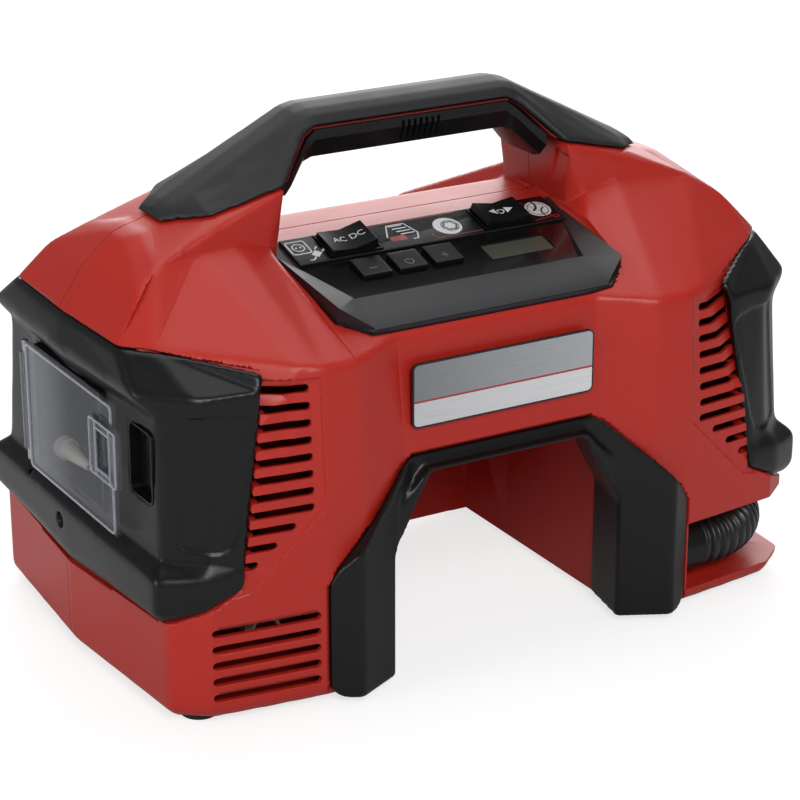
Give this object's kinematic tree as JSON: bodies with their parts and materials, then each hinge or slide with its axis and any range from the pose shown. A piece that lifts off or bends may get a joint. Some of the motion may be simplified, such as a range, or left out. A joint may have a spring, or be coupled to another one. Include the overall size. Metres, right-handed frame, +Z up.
{
  "type": "portable air compressor",
  "caption": "Bridge-shaped portable air compressor with a carrying handle, a sloping control panel, an accessory compartment and a corrugated hose stored round its base.",
  "frame": {"origin": "on the ground below the middle of the compressor", "axes": "+X along the length to the hose's side, front faces -Y, +Z up"},
  "size_m": [0.382, 0.243, 0.2665],
  "materials": {
    "red_plastic": "fine satin texture",
    "black_plastic": "fine spark-eroded texture",
    "grey_plastic": "matt",
    "white_plastic": "matt",
    "gloss_black": "polished",
    "badge": "printed film",
    "clear_plastic": "clear moulded",
    "soft_rubber": "matt",
    "hose_plastic": "satin",
    "steel": "zinc plated",
    "brass": "turned",
    "aluminium": "die cast",
    "display": "passive display",
    "circuit": "solder resist"
  },
  "bodies": {
    "housing": {"front_housing": "red_plastic", "rear_housing": "red_plastic", "front_arch_trim": "black_plastic", "left_end_frame": "black_plastic", "right_end_frame": "black_plastic", "accessory_tray": "black_plastic", "door_hinge_pin": "steel", "pressure_outlet": "brass", "ball_needle": "steel", "cone_nozzle": "white_plastic", "handle_cover": "black_plastic", "handle_core": "red_plastic", "handle_grip": "soft_rubber", "control_panel": "black_plastic", "legend_plate": "gloss_black", "badge_plate": "badge", "switch_bodies": "black_plastic", "lcd_window": "clear_plastic", "lcd_module": "display", "control_board": "circuit", "corrugated_hose": "hose_plastic", "hose_cuffs": "hose_plastic", "inflate_duct": "black_plastic", "deflate_duct": "black_plastic", "blower_housing": "grey_plastic", "blower_motor": "steel", "pump_frame": "aluminium", "pump_motor": "steel", "crank_bush": "brass", "pump_cylinder": "aluminium", "pump_head": "aluminium", "air_pipe": "hose_plastic", "power_board": "circuit", "board_standoffs": "grey_plastic", "battery_rails": "black_plastic", "terminal_block": "black_plastic", "mains_gland": "soft_rubber", "dc_socket": "black_plastic", "housing_screws": "steel", "frame_screws": "steel", "rubber_feet": "soft_rubber"},
    "door": {"accessory_door": "clear_plastic"},
    "ac_dc_rocker": {"ac_dc_rocker": "gloss_black"},
    "mode_rocker": {"mode_rocker": "gloss_black"},
    "minus_button": {"minus_button": "gloss_black"},
    "mode_button": {"mode_button": "gloss_black"},
    "plus_button": {"plus_button": "gloss_black"},
    "impeller": {"blower_impeller": "white_plastic"},
    "crank": {"crank_gear": "steel"},
    "motor_rotor": {"motor_pinion": "steel", "motor_fan": "white_plastic"},
    "rod": {"connecting_rod": "white_plastic", "wrist_pin": "steel"},
    "piston": {"piston": "aluminium"}
  },
  "joints": [
    {"name": "door_hinge", "type": "hinge", "parent": "housing", "child": "door", "pos_m": [-0.1854, 0.054, 0.1185], "axis": [0, 0, -1], "range_deg": [0, 110]},
    {"name": "ac_dc_switch", "type": "hinge", "parent": "housing", "child": "ac_dc_rocker", "pos_m": [-0.043, -0.0215, 0.19558], "axis": [0, 0.9636, 0.2675], "range_deg": [0, 14]},
    {"name": "mode_switch", "type": "hinge", "parent": "housing", "child": "mode_rocker", "pos_m": [0.046, -0.0215, 0.19558], "axis": [0, 0.9636, 0.2675], "range_deg": [-7, 7]},
    {"name": "minus_press", "type": "slide", "parent": "housing", "child": "minus_button", "axis": [0, 0.2675, -0.9636], "range_m": [0, 0.0012], "stiffness_N_per_m": 400},
    {"name": "mode_press", "type": "slide", "parent": "housing", "child": "mode_button", "axis": [0, 0.2675, -0.9636], "range_m": [0, 0.0012], "stiffness_N_per_m": 400},
    {"name": "plus_press", "type": "slide", "parent": "housing", "child": "plus_button", "axis": [0, 0.2675, -0.9636], "range_m": [0, 0.0012], "stiffness_N_per_m": 400},
    {"name": "impeller_spin", "type": "hinge", "parent": "housing", "child": "impeller", "pos_m": [0.122, 0.01, 0.1115], "axis": [0, 1, 0], "continuous": true},
    {"name": "crank_spin", "type": "hinge", "parent": "housing", "child": "crank", "pos_m": [-0.115, 0.026, 0.0675], "axis": [0, 1, 0], "continuous": true},
    {"name": "motor_spin", "type": "hinge", "parent": "housing", "child": "motor_rotor", "pos_m": [-0.115, 0.004, 0.0375], "axis": [0, 1, 0], "continuous": true},
    {"name": "rod_swing", "type": "hinge", "parent": "crank", "child": "rod", "pos_m": [-0.115, 0.026, 0.0735], "axis": [0, 1, 0], "continuous": true},
    {"name": "piston_stroke", "type": "slide", "parent": "housing", "child": "piston", "axis": [0, 0, -1], "range_m": [0, 0.012]}
  ],
  "couplings": [
    {"joint": "motor_spin", "follows": "crank_spin", "ratio": -4},
    {"joint": "rod_swing", "follows": "crank_spin", "ratio": -1}
  ]
}
